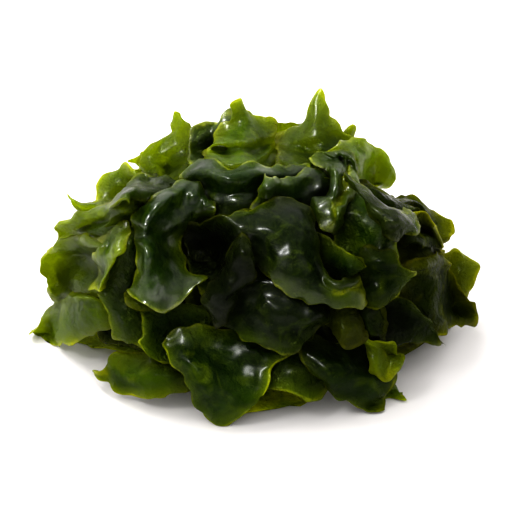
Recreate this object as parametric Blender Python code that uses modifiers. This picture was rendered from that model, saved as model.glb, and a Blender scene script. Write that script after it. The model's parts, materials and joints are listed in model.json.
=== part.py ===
"""A heap of wet seaweed: soft green blades lying over each other, each blade one thin solid.

Every blade is a small net of points that is read from the front, as the heap is seen from a
little above. It is then laid on the blades before it, as a cook drops one wet leaf on another:
where something lies under it, the blade is lifted towards the eye until it is clear.
"""

import math

import bmesh
import bpy
from mathutils import Vector
from mathutils.bvhtree import BVHTree

# Driving sizes, in metres.
HEAP_WIDTH = 0.1105
BLADE_THICKNESS = 0.0008
BLADE_GAP = 0.0003
LAY_CLEARANCE = 0.0008
LIFT_STEP = 0.0003

# The picture that the nets are read from: its side, the heap's width in it, and the point of
# the floor under the heap's middle, all in pixels.
PICTURE_SIDE = 512
HEAP_WIDTH_PX = 442
FLOOR_MIDDLE_PX = (256, 328)
PIXEL = HEAP_WIDTH / HEAP_WIDTH_PX
MILLIMETRE = 0.001

# The eye that reads the nets.
EYE_DISTANCE = 0.64
EYE_ELEVATION = math.radians(32)

# Half the length, depth and height of the round form that the blades lie about.
HEAP_HALF_SIZES = (0.050, 0.042, 0.045)

# Steps of the relaxation that spreads a lift over a blade, and how much of it is passed on.
RELAX_STEPS = 40
RELAX_SHARE = 0.93
SAMPLES_PER_CELL = 3
MOST_TRIES = 60

TONES = {
    "wet_dark_green": ((0.020, 0.045, 0.010, 1), 0.30),
    "wet_green": ((0.060, 0.120, 0.008, 1), 0.32),
    "wet_yellow_green": ((0.150, 0.210, 0.010, 1), 0.35),
    "wet_olive": ((0.070, 0.090, 0.010, 1), 0.35),
}


class Eye:
    """Turns a pixel of a picture and a nearness into a place, for an eye at one azimuth."""

    def __init__(self, azimuth_deg, elevation=EYE_ELEVATION):
        turn = math.radians(azimuth_deg)
        level = Vector((math.sin(turn), -math.cos(turn), 0))
        self.towards = level * math.cos(elevation) + Vector((0, 0, math.sin(elevation)))
        self.right = Vector((math.cos(turn), math.sin(turn), 0))
        self.up = self.towards.cross(self.right)
        middle_up = (FLOOR_MIDDLE_PX[1] - PICTURE_SIDE / 2) * PIXEL
        self.target = self.up * middle_up
        self.place = self.target + self.towards * EYE_DISTANCE

    def ray(self, u, v):
        """The unit vector from the eye through pixel (u, v)."""
        across = (u - PICTURE_SIDE / 2) * PIXEL
        up = (PICTURE_SIDE / 2 - v) * PIXEL
        return (self.target + self.right * across + self.up * up - self.place).normalized()

    def form_distance(self, ray):
        """How far along a ray the heap's round form starts, or is nearest if the ray misses it."""
        start = Vector(p / h for p, h in zip(self.place, HEAP_HALF_SIZES))
        step = Vector(r / h for r, h in zip(ray, HEAP_HALF_SIZES))
        nearest = -start.dot(step) / step.length_squared
        depth_squared = nearest**2 - (start.length_squared - 1) / step.length_squared
        return nearest - math.sqrt(max(depth_squared, 0))

    def floor_distance(self, ray):
        """How far along a ray the floor is, less half a blade's thickness."""
        return (BLADE_THICKNESS / 2 - self.place.z) / ray.z if ray.z < 0 else math.inf

    def distance(self, u, v, out_mm):
        ray = self.ray(u, v)
        wanted = self.form_distance(ray) - out_mm * MILLIMETRE
        return min(wanted, self.floor_distance(ray))


def spline(points, t):
    """The point at t, from 0 to 1, on a smooth curve through all the points (Catmull-Rom)."""
    last = len(points) - 1
    at = min(t * last, last - 1e-9)
    i = int(at)
    f = at - i
    a, b = Vector(points[i]), Vector(points[i + 1])
    before = Vector(points[i - 1]) if i > 0 else 2 * a - b
    after = Vector(points[i + 2]) if i + 2 <= last else 2 * b - a
    return 0.5 * (
        2 * a
        + (b - before) * f
        + (2 * before - 5 * a + 4 * b - after) * f**2
        + (3 * a - before - 3 * b + after) * f**3
    )


def net_point(net, s, t):
    """The net's (u, v, out) at s across its rows and t along them."""
    return spline([spline(row, t) for row in net], s)


def solid_mesh(blade, thickness):
    """The blade's evaluated mesh at a thickness, as (corners, faces)."""
    blade.modifiers["thickness"].thickness = thickness
    bpy.context.view_layer.update()
    evaluated = blade.evaluated_get(bpy.context.evaluated_depsgraph_get())
    mesh = evaluated.to_mesh()
    mesh.calc_loop_triangles()
    corners = [v.co.copy() for v in mesh.vertices]
    faces = [tuple(t.vertices) for t in mesh.loop_triangles]
    evaluated.to_mesh_clear()
    return corners, faces


class Heap:
    """The blades laid so far, as one surface that the next blade has to clear."""

    def __init__(self):
        self.corners = []
        self.faces = []
        self.tree = None

    def add(self, corners, faces):
        start = len(self.corners)
        self.corners += corners
        self.faces += [tuple(i + start for i in face) for face in faces]
        self.tree = BVHTree.FromPolygons(self.corners, self.faces)

    def distance_from(self, eye, ray):
        """How far along a ray the heap starts, or infinity."""
        if self.tree is None:
            return math.inf
        _, _, _, distance = self.tree.ray_cast(eye.place, ray)
        return math.inf if distance is None else distance

    def touched(self, corners, faces):
        """The corners of those faces that cut into the heap."""
        if self.tree is None:
            return set()
        pairs = BVHTree.FromPolygons(corners, faces).overlap(self.tree)
        return {i for own, _ in pairs for i in faces[own]}


def relaxed(wanted, neighbours):
    """The least lifts that are at least what is wanted, spread softly over the blade."""
    lifts = list(wanted)
    for _ in range(RELAX_STEPS):
        lifts = [
            max(want, RELAX_SHARE * sum(lifts[j] for j in near) / len(near))
            for want, near in zip(wanted, neighbours)
        ]
    return lifts


def lifts_over(heap, eye, net, params, cell):
    """For each grid vertex, how much nearer it has to be to clear what lies under its cells."""
    wanted = []
    steps = range(-SAMPLES_PER_CELL, SAMPLES_PER_CELL + 1)
    for s, t in params:
        most = 0.0
        for i in steps:
            for j in steps:
                at_s = min(max(s + i * cell[0] / SAMPLES_PER_CELL, 0), 1)
                at_t = min(max(t + j * cell[1] / SAMPLES_PER_CELL, 0), 1)
                u, v, out = net_point(net, at_s, at_t)
                under = heap.distance_from(eye, eye.ray(u, v)) - LAY_CLEARANCE
                most = max(most, eye.distance(u, v, out) - under)
        wanted.append(most)
    return wanted


def material(tone):
    """One wet green for each tone of blade."""
    found = bpy.data.materials.get(tone)
    if found:
        return found
    colour, roughness = TONES[tone]
    made = bpy.data.materials.new(tone)
    made.use_nodes = True
    shader = made.node_tree.nodes["Principled BSDF"]
    shader.inputs["Base Color"].default_value = colour
    shader.inputs["Roughness"].default_value = roughness
    made.diffuse_color = colour
    return made


def lay(heap, eye, name, tone, splits, net):
    """Adds one blade to the heap. splits is how many cells each gap of the net is cut into."""
    cells = ((len(net) - 1) * splits[0], (len(net[0]) - 1) * splits[1])
    sheet = bmesh.new()
    bmesh.ops.create_grid(sheet, x_segments=cells[1], y_segments=cells[0], size=0.5)
    sheet.verts.ensure_lookup_table()
    params = [(min(max(v.co.y + 0.5, 0), 1), min(max(v.co.x + 0.5, 0), 1)) for v in sheet.verts]
    neighbours = [[e.other_vert(v).index for e in v.link_edges] for v in sheet.verts]
    wanted = lifts_over(heap, eye, net, params, (1 / cells[0], 1 / cells[1]))

    mesh = bpy.data.meshes.new(name)
    sheet.to_mesh(mesh)
    sheet.free()
    blade = bpy.data.objects.new(name, mesh)
    bpy.data.collections["seaweed_heap"].objects.link(blade)
    mesh.materials.append(material(tone))
    thickness = blade.modifiers.new("thickness", "SOLIDIFY")
    thickness.offset = 0

    for _ in range(MOST_TRIES):
        for vertex, (s, t), lift in zip(mesh.vertices, params, relaxed(wanted, neighbours)):
            u, v, out = net_point(net, s, t)
            vertex.co = eye.place + eye.ray(u, v) * (eye.distance(u, v, out) - lift)
        mesh.update()
        corners, faces = solid_mesh(blade, BLADE_THICKNESS + 2 * BLADE_GAP)
        touched = heap.touched(corners, faces)
        if not touched:
            break
        for i in {index % len(params) for index in touched}:
            wanted[i] += LIFT_STEP
    else:
        print(f"{name} still touches the heap")
    heap.add(*solid_mesh(blade, BLADE_THICKNESS))
    return blade


# The nets. Each row is a line of points (u, v, out) across the blade: u and v are pixels of the
# picture, right and down, and out is how many millimetres the point stands out of the heap's
# round form towards the eye. A point that would be under the floor lies on it.

FLOOR_BLADES = {
    "floor_blade_left": ("wet_yellow_green", (1, 2), [
        [(79, 336, -60), (90, 318, -60), (100, 300, -60)],
        [(92, 343, -60), (106, 322, -60), (116, 300, -60)],
        [(120, 349, -60), (134, 325, -60), (146, 298, -60)],
        [(148, 356, -60), (165, 330, -60), (180, 296, -60)],
        [(185, 360, -60), (200, 332, -60), (215, 294, -60)],
    ]),
    "floor_blade_front": ("wet_yellow_green", (1, 2), [
        [(222, 412, -60), (224, 385, -60), (228, 350, -60)],
        [(240, 412, -60), (248, 382, -60), (250, 340, -60)],
        [(268, 405, -60), (272, 378, -60), (276, 335, -60)],
        [(296, 398, -60), (300, 372, -60), (306, 332, -60)],
        [(318, 392, -60), (324, 368, -60), (332, 335, -60)],
    ]),
    "floor_blade_right": ("wet_olive", (1, 2), [
        [(338, 372, -60), (336, 345, -60), (334, 310, -60)],
        [(368, 368, -60), (368, 340, -60), (365, 300, -60)],
        [(398, 352, -60), (400, 330, -60), (396, 292, -60)],
        [(428, 338, -60), (430, 316, -60), (424, 286, -60)],
        [(452, 322, -60), (452, 304, -60), (446, 284, -60)],
    ]),
}

INNER_BLADES = {
    "inner_blade_left": ("wet_dark_green", (1, 2), [
        [(92, 250, -13), (96, 285, -13), (100, 315, -12), (104, 338, -12)],
        [(125, 225, -13), (130, 265, -14), (134, 305, -13), (136, 345, -12)],
        [(160, 210, -13), (165, 255, -14), (168, 300, -13), (170, 352, -12)],
        [(200, 205, -13), (205, 250, -14), (208, 300, -13), (212, 355, -12)],
    ]),
    "inner_blade_top": ("wet_dark_green", (1, 2), [
        [(150, 190, -12), (168, 215, -12), (185, 240, -12)],
        [(190, 165, -12), (205, 200, -12), (215, 235, -12)],
        [(235, 158, -12), (245, 195, -12), (250, 235, -12)],
        [(285, 158, -12), (290, 195, -12), (290, 235, -12)],
        [(335, 165, -12), (335, 200, -12), (330, 235, -12)],
        [(365, 190, -12), (362, 215, -12), (355, 240, -12)],
    ]),
    "inner_blade_right": ("wet_dark_green", (1, 2), [
        [(305, 235, -12), (305, 270, -13), (306, 305, -13), (308, 340, -12)],
        [(345, 225, -12), (345, 265, -13), (346, 305, -13), (346, 340, -12)],
        [(385, 225, -12), (388, 260, -13), (388, 300, -13), (386, 335, -12)],
        [(420, 235, -12), (424, 265, -12), (424, 295, -12), (420, 325, -12)],
    ]),
    "inner_blade_front": ("wet_dark_green", (1, 2), [
        [(195, 275, -12), (192, 310, -12), (190, 340, -11), (194, 372, -10)],
        [(235, 265, -12), (234, 305, -12), (234, 345, -11), (236, 385, -10)],
        [(275, 265, -12), (276, 305, -12), (278, 345, -11), (278, 384, -10)],
        [(318, 275, -12), (320, 310, -12), (322, 345, -11), (322, 378, -10)],
    ]),
}

BACK_ROW = {
    "back_horn": ("wet_yellow_green", (1, 1), [
        [(146, 198, -10), (156, 202, -9), (168, 200, -10)],
        [(139, 178, -8), (147, 180, -7), (158, 180, -8)],
        [(136, 167, -6), (142, 166, -5), (151, 163, -6)],
        [(130, 159, -4), (139, 161, -5), (147, 153, -3)],
    ]),
    "back_nib": ("wet_yellow_green", (1, 1), [
        [(330, 172, -10), (342, 176, -9), (356, 172, -10)],
        [(334, 152, -8), (344, 154, -7), (357, 152, -8)],
        [(340, 136, -7), (346, 137, -6), (353, 141, -7)],
        [(343, 130, -6), (348, 126, -5), (351, 132, -6)],
    ]),
    "thumb_blade": ("wet_yellow_green", (2, 2), [
        [(141, 190, -9), (158, 194, -6), (178, 194, -6), (200, 188, -9)],
        [(142, 165, -6), (158, 167, -3), (178, 167, -3), (197, 162, -7)],
        [(150, 148, -4), (162, 147, -2), (177, 146, 0), (191, 145, -3)],
        [(166, 134, -4), (171, 131, -2), (178, 130, 0), (189, 131, -2)],
        [(170, 119, -4), (175, 113, -3), (183, 113, -2), (189, 122, -3)],
    ]),
    "back_grey_blade": ("wet_dark_green", (2, 1), [
        [(193, 178, -8), (201, 182, -6), (211, 182, -6), (221, 178, -6), (234, 168, -8)],
        [(191, 152, -4), (200, 153, -5), (209, 152, -6), (219, 148, -6), (234, 140, -7)],
        [(191, 131, -2), (199, 127, -4), (212, 123, -6), (219, 120, -5), (230, 111, -5)],
    ]),
    "tall_back_blade": ("wet_yellow_green", (2, 1), [
        [(208, 172, -8), (222, 180, -5), (240, 180, -4), (258, 178, -5), (277, 170, -8)],
        [(204, 153, -2), (222, 162, -2), (240, 162, -1), (258, 160, -2), (277, 151, -6)],
        [(214, 143, -1), (227, 142, 0), (241, 141, 2), (257, 141, 0), (271, 139, -3)],
        [(220, 127, -2), (232, 124, 0), (243, 122, 2), (257, 128, -1), (273, 132, -3)],
        [(234, 117, -2), (229, 105, 1), (239, 101, 2), (250, 115, -1), (272, 124, -4)],
    ]),
    "right_back_blade": ("wet_yellow_green", (2, 1), [
        [(277, 168, -9), (293, 178, -7), (308, 180, -6), (320, 180, -6), (336, 178, -7), (358, 170, -9)],
        [(279, 149, -5), (295, 152, -3), (309, 154, -2), (321, 154, -2), (336, 153, -4), (358, 153, -7)],
        [(279, 138, -4), (297, 134, -2), (311, 130, 0), (322, 130, -1), (336, 137, -4), (357, 147, -6)],
        [(284, 129, -5), (304, 118, -3), (314, 95, -2), (327, 100, -3), (332, 122, -5), (356, 141, -7)],
    ]),
    "right_back_lobe": ("wet_yellow_green", (2, 2), [
        [(324, 154, -5), (334, 166, -6), (344, 182, -8), (352, 198, -10)],
        [(347, 142, -1), (355, 158, -4), (359, 176, -7), (364, 194, -9)],
        [(371, 143, 0), (375, 158, -3), (374, 176, -6), (374, 191, -7)],
        [(388, 155, -1), (388, 166, 0), (385, 178, -1), (379, 188, -4)],
        [(393, 165, -3), (396, 173, -1), (394, 180, -2), (387, 186, -4)],
    ]),
}

LEFT_SIDE = {
    "upper_left_lobe": ("wet_yellow_green", (2, 2), [
        [(97, 214, -6), (112, 218, -5), (132, 218, -6), (152, 212, -8)],
        [(96, 200, -3), (111, 202, -3), (130, 202, -5), (150, 196, -7)],
        [(99, 185, -2), (112, 184, 0), (128, 184, -2), (147, 183, -6)],
        [(109, 171, -3), (119, 163, -2), (130, 166, -1), (141, 173, -5)],
    ]),
    "left_notched_leaf": ("wet_yellow_green", (1, 1), [
        [(72, 217, -3), (73, 213, -3), (78, 208, -3)],
        [(82, 222, -4), (84, 215, -3), (88, 209, -4)],
        [(100, 226, -6), (102, 218, -5), (104, 210, -6)],
    ]),
    "left_horn_leaf": ("wet_yellow_green", (1, 1), [
        [(69, 197, -2), (70, 198, -2), (71, 200, -2)],
        [(79, 201, -2), (78, 205, -1), (78, 210, -2)],
        [(95, 200, -3), (95, 206, -1), (93, 215, -3)],
        [(116, 202, -5), (117, 209, -3), (115, 220, -5)],
        [(138, 202, -8), (139, 212, -6), (136, 224, -8)],
    ]),
    "left_long_leaf": ("wet_yellow_green", (1, 2), [
        [(57, 227, -2), (58, 230, -1), (60, 234, -1), (60, 240, -2)],
        [(72, 217, -1), (74, 222, 2), (77, 230, 0), (78, 240, -3)],
        [(92, 208, -1), (95, 214, 3), (99, 226, 0), (100, 242, -4)],
        [(115, 202, -2), (118, 209, 2), (120, 221, -2), (120, 236, -5)],
        [(137, 198, -4), (138, 207, -1), (140, 221, -5), (140, 236, -8)],
        [(156, 198, -7), (157, 208, -5), (158, 221, -8), (157, 234, -10)],
    ]),
    "left_sheen_blade": ("wet_green", (2, 2), [
        [(121, 190, -6), (119, 199, -5), (116, 206, -6)],
        [(138, 174, -3), (137, 187, 0), (134, 201, -2)],
        [(155, 175, -2), (154, 186, 0), (151, 199, -1)],
        [(171, 174, -3), (170, 184, -2), (168, 194, -2)],
        [(188, 182, -6), (187, 188, -6), (183, 196, -6)],
    ]),
    "left_cup_blade": ("wet_yellow_green", (2, 1), [
        [(46, 249, -1), (58, 242, -1), (76, 236, -2), (96, 236, -4), (112, 240, -7)],
        [(43, 257, 1), (57, 254, -1), (76, 252, -2), (96, 252, -5), (114, 255, -8)],
        [(45, 270, 1), (59, 269, -4), (77, 268, -5), (97, 268, -6), (116, 270, -8)],
        [(49, 281, 1), (60, 284, -1), (77, 282, -2), (95, 281, -5), (114, 284, -8)],
        [(50, 295, 0), (61, 300, 0), (77, 298, -1), (93, 293, -3), (110, 294, -7)],
    ]),
    "left_pointed_leaf": ("wet_yellow_green", (1, 2), [
        [(31, 329, -2), (32, 329, -2), (33, 330, -2), (34, 331, -2)],
        [(44, 316, -3), (46, 320, -1), (47, 328, -1), (49, 340, -2)],
        [(54, 303, -4), (58, 308, 0), (60, 323, 1), (61, 343, -2)],
        [(72, 294, -5), (76, 301, 0), (79, 318, 1), (80, 337, -3)],
        [(92, 295, -6), (96, 301, -1), (99, 315, 0), (102, 328, -4)],
        [(112, 300, -8), (115, 305, -5), (118, 314, -5), (122, 324, -7)],
    ]),
    "left_standing_blade": ("wet_green", (1, 2), [
        [(128, 226, -3), (137, 231, -4), (148, 240, -7)],
        [(122, 250, -2), (132, 252, -3), (147, 258, -7)],
        [(112, 269, -2), (127, 275, -3), (146, 280, -7)],
        [(101, 289, -1), (118, 298, -2), (144, 302, -6)],
        [(106, 305, -1), (122, 318, -1), (146, 322, -5)],
        [(114, 335, -4), (130, 342, -4), (150, 350, -5)],
    ]),
    "speckled_leaf": ("wet_yellow_green", (2, 2), [
        [(109, 229, 0), (119, 224, 1), (130, 226, -1)],
        [(99, 240, 0), (113, 240, 2), (127, 240, 0)],
        [(94, 259, 0), (108, 258, 3), (121, 256, 1)],
        [(99, 272, -1), (107, 271, 1), (114, 267, 0)],
        [(92, 287, -3), (97, 287, -2), (103, 284, -3)],
    ]),
    "bottom_left_leaf": ("wet_yellow_green", (1, 2), [
        [(95, 371, -2), (97, 373, -2), (99, 375, -2)],
        [(104, 367, 0), (106, 373, 0), (109, 383, -1)],
        [(118, 357, -1), (120, 373, 2), (123, 393, -1)],
        [(142, 356, -3), (143, 375, 1), (144, 397, -1)],
        [(166, 362, -4), (168, 377, 0), (170, 393, -2)],
        [(194, 372, -6), (196, 382, -3), (198, 389, -4)],
    ]),
    "front_left_blade": ("wet_green", (1, 2), [
        [(141, 310, 0), (139, 325, 1), (141, 341, 1), (147, 355, 0)],
        [(151, 306, -2), (149, 325, -1), (151, 344, -1), (158, 364, -1)],
        [(170, 303, -5), (170, 322, -5), (171, 342, -5), (174, 360, -4)],
        [(193, 301, -7), (194, 320, -7), (195, 338, -7), (196, 356, -6)],
        [(216, 303, -9), (216, 320, -9), (216, 338, -9), (216, 354, -8)],
    ]),
}

TOP_MIDDLE = {
    "top_grey_blade": ("wet_dark_green", (1, 2), [
        [(183, 176, -5), (187, 183, -4), (192, 190, -3), (197, 198, -3)],
        [(202, 162, -6), (205, 179, -3), (209, 196, 1), (213, 214, 1)],
        [(222, 167, -7), (225, 183, -3), (228, 201, 2), (231, 220, 1)],
        [(245, 165, -7), (247, 181, -4), (248, 199, 1), (246, 217, 0)],
        [(268, 165, -6), (267, 180, -4), (265, 197, -3), (259, 214, -4)],
        [(290, 166, -5), (289, 180, -5), (286, 194, -7), (282, 208, -9)],
        [(308, 162, -5), (309, 176, -6), (308, 190, -8), (305, 204, -10)],
    ]),
    "top_folded_blade": ("wet_dark_green", (2, 2), [
        [(263, 174, -3), (259, 188, -3), (254, 202, -4), (250, 216, -6)],
        [(276, 179, 0), (274, 192, -1), (272, 206, -3), (270, 220, -6)],
        [(294, 177, 1), (294, 190, 0), (293, 204, -2), (292, 218, -6)],
        [(312, 168, 0), (313, 182, 0), (313, 198, -2), (312, 214, -6)],
        [(322, 164, -2), (328, 180, -3), (331, 194, -4), (330, 208, -7)],
    ]),
}

RIGHT_SIDE = {
    "right_far_leaf": ("wet_olive", (1, 2), [
        [(386, 202, -8), (386, 208, -8), (386, 216, -9)],
        [(402, 194, -5), (402, 204, -5), (402, 216, -7)],
        [(420, 196, -3), (417, 207, -2), (413, 221, -5)],
        [(433, 209, -3), (428, 219, -1), (422, 232, -5)],
        [(441, 219, -4), (437, 229, -2), (430, 241, -5)],
        [(448, 222, -3), (449, 230, -3), (441, 242, -5)],
    ]),
    "right_dark_strip": ("wet_dark_green", (1, 1), [
        [(358, 182, -6), (362, 192, -6), (366, 204, -8)],
        [(380, 189, -3), (380, 198, -4), (382, 210, -7)],
        [(398, 199, -2), (398, 206, -3), (398, 215, -7)],
        [(418, 212, -2), (416, 217, -3), (413, 226, -7)],
    ]),
    "right_hollow_leaf": ("wet_olive", (1, 2), [
        [(393, 224, -8), (392, 238, -9), (394, 252, -8), (400, 263, -5)],
        [(407, 215, -4), (408, 232, -8), (410, 248, -7), (412, 263, -2)],
        [(422, 215, 0), (423, 230, -6), (424, 246, -5), (425, 261, -1)],
        [(434, 228, 1), (434, 237, -3), (434, 247, -3), (434, 257, -1)],
        [(442, 240, 0), (442, 244, -1), (441, 248, -1), (439, 254, -1)],
    ]),
    "right_small_leaf": ("wet_olive", (1, 1), [
        [(445, 255, -4), (458, 251, -3), (467, 258, -4)],
        [(448, 267, -3), (461, 267, -1), (475, 270, -3)],
        [(454, 281, -3), (462, 282, -1), (470, 284, -3)],
        [(461, 295, -4), (463, 297, -3), (466, 299, -4)],
    ]),
    "right_big_leaf": ("wet_olive", (2, 1), [
        [(400, 262, -8), (415, 262, -7), (428, 258, -4), (436, 252, -1), (441, 246, 1)],
        [(400, 280, -7), (418, 278, -6), (432, 274, -3), (444, 268, 0), (453, 266, 2)],
        [(400, 300, -6), (420, 298, -4), (438, 294, -1), (452, 290, 1), (463, 292, 1)],
        [(402, 320, -6), (420, 318, -3), (440, 314, 0), (456, 309, 1), (474, 309, -1)],
        [(406, 340, -6), (422, 338, -4), (438, 332, -2), (452, 327, -1), (469, 325, -2)],
    ]),
}

FRONT_RIGHT = {
    "front_right_flap": ("wet_green", (1, 1), [
        [(264, 350, -7), (284, 348, -6), (305, 346, -6), (328, 350, -7)],
        [(266, 368, -5), (285, 366, -3), (305, 364, -3), (328, 367, -5)],
        [(267, 381, -3), (284, 380, -1), (303, 382, -1), (326, 384, -3)],
        [(271, 388, -2), (288, 392, 0), (304, 399, 0), (321, 398, -2)],
    ]),
    "low_right_tail": ("wet_green", (1, 2), [
        [(368, 374, -4), (370, 384, -3), (370, 396, -3)],
        [(384, 377, -3), (384, 388, -1), (384, 402, -2)],
        [(394, 381, -3), (395, 389, -1), (392, 399, -2)],
        [(402, 390, -2), (403, 396, -1), (401, 403, -2)],
    ]),
    "right_front_plate": ("wet_dark_green", (1, 2), [
        [(361, 296, -7), (362, 313, -6), (365, 330, -5), (371, 344, -5)],
        [(378, 294, -6), (379, 312, -6), (380, 330, -4), (384, 346, -4)],
        [(398, 296, -5), (398, 312, -5), (400, 329, -3), (402, 345, -3)],
        [(417, 309, -3), (418, 319, -2), (419, 330, -1), (420, 343, -2)],
        [(437, 337, -1), (438, 340, 0), (438, 342, 0), (435, 346, -1)],
    ]),
    "pale_fold_blade": ("wet_green", (2, 1), [
        [(350, 294, -6), (366, 294, -3), (384, 296, -6)],
        [(357, 312, -4), (368, 312, -1), (384, 312, -6)],
        [(362, 328, -3), (371, 328, 0), (383, 328, -5)],
        [(366, 337, -1), (373, 341, 0), (384, 346, -4)],
    ]),
    "low_right_blade": ("wet_green", (2, 1), [
        [(303, 338, -8), (325, 340, -7), (346, 342, -5), (368, 345, -4), (386, 352, -3)],
        [(299, 354, -6), (323, 357, -4), (347, 360, -2), (371, 363, -2), (392, 368, -1)],
        [(306, 371, -5), (328, 373, -2), (350, 376, 0), (372, 380, 0), (388, 385, -1)],
        [(322, 385, -4), (336, 390, -2), (353, 395, 0), (371, 400, 0), (385, 400, -1)],
        [(331, 395, -3), (343, 401, -1), (355, 407, 0), (368, 411, -1), (382, 412, -2)],
    ]),
    "holed_lobe": ("wet_yellow_green", (2, 2), [
        [(364, 334, -1), (373, 342, 1), (384, 345, 2), (395, 344, 2), (402, 351, 1)],
        [(366, 345, -2), (377, 349, 1), (384, 352, -2), (397, 352, -2), (404, 358, 1)],
        [(369, 357, -3), (379, 358, 0), (386, 358, -1), (396, 360, 1), (401, 364, 1)],
        [(373, 370, -4), (380, 372, -2), (386, 374, -1), (391, 373, 0), (396, 370, 0)],
    ]),
    "olive_leaf": ("wet_olive", (1, 2), [
        [(308, 304, -7), (313, 314, -6), (321, 325, -6)],
        [(325, 300, -5), (330, 315, -3), (336, 332, -3)],
        [(342, 298, -4), (346, 319, -1), (349, 346, -2)],
        [(356, 301, -4), (361, 319, -2), (367, 341, -2)],
    ]),
}

RIGHT_MIDDLE = {
    "right_green_blade": ("wet_green", (1, 2), [
        [(338, 190, -8), (349, 186, -5), (359, 191, -3), (366, 199, -3)],
        [(336, 210, -8), (352, 209, -4), (368, 211, 0), (380, 219, 0)],
        [(334, 230, -8), (354, 231, -4), (374, 231, 1), (395, 232, 0)],
        [(334, 250, -8), (354, 251, -5), (374, 251, 0), (397, 246, 0)],
        [(338, 270, -9), (356, 270, -7), (376, 270, -4), (394, 264, -3)],
    ]),
    "right_lower_blade": ("wet_green", (1, 2), [
        [(360, 244, -8), (376, 246, -6), (393, 250, -2)],
        [(360, 262, -6), (380, 263, -3), (400, 264, 1)],
        [(360, 280, -5), (384, 278, -1), (411, 274, 1)],
        [(360, 296, -5), (380, 291, 1), (402, 288, 0)],
        [(364, 305, -5), (378, 305, -2), (394, 302, -2)],
    ]),
    "right_inner_leaf": ("wet_green", (1, 1), [
        [(314, 228, -7), (317, 248, -7), (319, 268, -7), (321, 288, -8)],
        [(332, 243, -4), (334, 255, -3), (336, 268, -3), (337, 286, -7)],
        [(350, 251, -2), (352, 260, 0), (352, 269, 0), (350, 280, -4)],
        [(364, 259, -2), (367, 264, -1), (366, 269, -1), (360, 276, -3)],
    ]),
    "right_fold_blade": ("wet_green", (2, 2), [
        [(312, 158, -3), (322, 155, 0), (332, 152, 1), (343, 150, 0), (352, 153, -2)],
        [(326, 167, -4), (333, 162, 2), (341, 162, -2), (349, 160, 2), (358, 171, -1)],
        [(330, 181, -5), (337, 178, 3), (344, 180, -3), (351, 177, 1), (358, 184, -4)],
        [(327, 197, -4), (334, 195, 3), (341, 197, -1), (347, 198, -2), (353, 201, -5)],
        [(311, 199, -2), (320, 206, 3), (330, 213, 1), (338, 215, -2), (344, 217, -5)],
        [(310, 213, -4), (316, 221, 0), (323, 228, -1), (330, 231, -3), (335, 233, -6)],
    ]),
    "right_tongue_leaf": ("wet_dark_green", (1, 1), [
        [(350, 176, -5), (351, 180, -5), (351, 185, -6)],
        [(362, 191, -3), (361, 195, -1), (360, 199, -3)],
        [(378, 203, -1), (375, 208, 1), (371, 214, -1)],
        [(398, 210, 0), (392, 219, 2), (385, 228, 0)],
        [(415, 216, 0), (408, 226, 2), (397, 238, 0)],
        [(419, 222, 0), (417, 230, 1), (409, 238, 0)],
    ]),
}

MIDDLE = {
    "hood_wall": ("wet_dark_green", (1, 2), [
        [(187, 226, -8), (212, 221, -8), (240, 215, -8), (268, 211, -8), (296, 213, -8)],
        [(184, 245, -9), (210, 243, -10), (240, 240, -10), (268, 238, -9), (296, 238, -8)],
        [(188, 265, -8), (212, 263, -9), (240, 262, -10), (268, 262, -9), (296, 262, -8)],
        [(200, 290, -8), (220, 290, -8), (240, 290, -9), (264, 290, -9), (290, 292, -8)],
    ]),
    "curl_under_glossy": ("wet_yellow_green", (1, 1), [
        [(128, 291, -3), (140, 294, -4), (156, 296, -5)],
        [(130, 304, -1), (140, 305, -2), (154, 305, -4)],
        [(137, 313, -2), (144, 313, -2), (152, 310, -4)],
    ]),
    "glossy_blade": ("wet_dark_green", (2, 2), [
        [(183, 179, -4), (193, 184, -4), (204, 195, -4), (216, 208, -4)],
        [(160, 193, -3), (176, 199, 0), (194, 207, 0), (210, 217, -2)],
        [(140, 213, -2), (157, 219, 2), (176, 223, 3), (195, 222, 1)],
        [(135, 234, -1), (150, 236, 0), (166, 238, 1), (182, 240, 1)],
        [(138, 259, -2), (152, 258, 3), (168, 258, 2), (187, 258, 0)],
        [(139, 278, -3), (153, 279, 3), (170, 278, 2), (192, 271, 0)],
        [(129, 293, -1), (148, 307, 1), (178, 301, 0), (208, 272, -1)],
    ]),
}

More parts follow.
